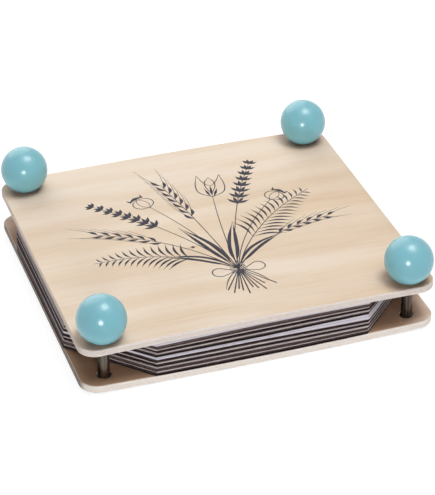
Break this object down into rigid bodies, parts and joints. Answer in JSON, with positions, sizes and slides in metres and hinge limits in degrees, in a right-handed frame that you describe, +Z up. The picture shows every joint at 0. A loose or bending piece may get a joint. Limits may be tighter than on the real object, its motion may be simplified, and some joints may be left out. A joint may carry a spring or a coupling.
{
  "type": "flower press",
  "caption": "Flower press with ball knobs on corner bolts that clamp a plywood top board over a stack of corrugated cards and blotting sheets with cut corners.",
  "frame": {"origin": "under the middle of the bottom board, on the surface it rests on", "axes": "+Z up, +X along the long side to the right of someone facing the front, +Y to the back"},
  "size_m": [0.186, 0.176, 0.0491],
  "materials": {
    "plywood": "matte",
    "lacquered_ball": "gloss",
    "steel": "satin",
    "brass": "satin",
    "corrugated_card": "matte",
    "blotting_paper": "matte"
  },
  "bodies": {
    "base": {"bottom_board": "plywood", "bolt_front_left": "steel", "bolt_front_right": "steel", "bolt_back_left": "steel", "bolt_back_right": "steel", "card_1": "corrugated_card", "blotter_1a": "blotting_paper"},
    "leaf_1": {"blotter_1b": "blotting_paper", "card_2": "corrugated_card", "blotter_2a": "blotting_paper"},
    "leaf_2": {"blotter_2b": "blotting_paper", "card_3": "corrugated_card", "blotter_3a": "blotting_paper"},
    "leaf_3": {"blotter_3b": "blotting_paper", "card_4": "corrugated_card", "blotter_4a": "blotting_paper", "blotter_4b": "blotting_paper"},
    "leaf_4": {"blotter_4c": "blotting_paper", "blotter_4d": "blotting_paper", "card_5": "corrugated_card", "blotter_5a": "blotting_paper"},
    "leaf_5": {"blotter_5b": "blotting_paper", "card_6": "corrugated_card", "blotter_6a": "blotting_paper"},
    "leaf_6": {"blotter_6b": "blotting_paper", "card_7": "corrugated_card", "blotter_7a": "blotting_paper"},
    "leaf_7": {"blotter_7b": "blotting_paper"},
    "lid": {"top_board": "plywood"},
    "front_left_knob": {"knob_front_left": "lacquered_ball", "insert_front_left": "brass"},
    "front_right_knob": {"knob_front_right": "lacquered_ball", "insert_front_right": "brass"},
    "back_left_knob": {"knob_back_left": "lacquered_ball", "insert_back_left": "brass"},
    "back_right_knob": {"knob_back_right": "lacquered_ball", "insert_back_right": "brass"}
  },
  "joints": [
    {"name": "lid_lift", "type": "slide", "parent": "base", "child": "lid", "axis": [0, 0, 1], "range_m": [0, 0.012]},
    {"name": "leaf_1_lift", "type": "slide", "parent": "base", "child": "leaf_1", "axis": [0, 0, 1], "range_m": [0, 0.00171]},
    {"name": "leaf_2_lift", "type": "slide", "parent": "base", "child": "leaf_2", "axis": [0, 0, 1], "range_m": [0, 0.00343]},
    {"name": "leaf_3_lift", "type": "slide", "parent": "base", "child": "leaf_3", "axis": [0, 0, 1], "range_m": [0, 0.00514]},
    {"name": "leaf_4_lift", "type": "slide", "parent": "base", "child": "leaf_4", "axis": [0, 0, 1], "range_m": [0, 0.00686]},
    {"name": "leaf_5_lift", "type": "slide", "parent": "base", "child": "leaf_5", "axis": [0, 0, 1], "range_m": [0, 0.00857]},
    {"name": "leaf_6_lift", "type": "slide", "parent": "base", "child": "leaf_6", "axis": [0, 0, 1], "range_m": [0, 0.01029]},
    {"name": "leaf_7_lift", "type": "slide", "parent": "base", "child": "leaf_7", "axis": [0, 0, 1], "range_m": [0, 0.012]},
    {"name": "front_left_knob_turn", "type": "hinge", "parent": "lid", "child": "front_left_knob", "pos_m": [-0.08, -0.0755, 0.0256], "axis": [0, 0, 1], "range_deg": [0, 4320]},
    {"name": "front_right_knob_turn", "type": "hinge", "parent": "lid", "child": "front_right_knob", "pos_m": [0.08, -0.0755, 0.0256], "axis": [0, 0, 1], "range_deg": [0, 4320]},
    {"name": "back_left_knob_turn", "type": "hinge", "parent": "lid", "child": "back_left_knob", "pos_m": [-0.08, 0.0755, 0.0256], "axis": [0, 0, 1], "range_deg": [0, 4320]},
    {"name": "back_right_knob_turn", "type": "hinge", "parent": "lid", "child": "back_right_knob", "pos_m": [0.08, 0.0755, 0.0256], "axis": [0, 0, 1], "range_deg": [0, 4320]}
  ],
  "couplings": [
    {"joint": "leaf_1_lift", "follows": "lid_lift", "ratio": 0.14286},
    {"joint": "leaf_2_lift", "follows": "lid_lift", "ratio": 0.28571},
    {"joint": "leaf_3_lift", "follows": "lid_lift", "ratio": 0.42857},
    {"joint": "leaf_4_lift", "follows": "lid_lift", "ratio": 0.57143},
    {"joint": "leaf_5_lift", "follows": "lid_lift", "ratio": 0.71429},
    {"joint": "leaf_6_lift", "follows": "lid_lift", "ratio": 0.85714},
    {"joint": "leaf_7_lift", "follows": "lid_lift", "ratio": 1},
    {"joint": "front_left_knob_turn", "follows": "lid_lift", "rad_per_m": 6283.2},
    {"joint": "front_right_knob_turn", "follows": "lid_lift", "rad_per_m": 6283.2},
    {"joint": "back_left_knob_turn", "follows": "lid_lift", "rad_per_m": 6283.2},
    {"joint": "back_right_knob_turn", "follows": "lid_lift", "rad_per_m": 6283.2}
  ]
}
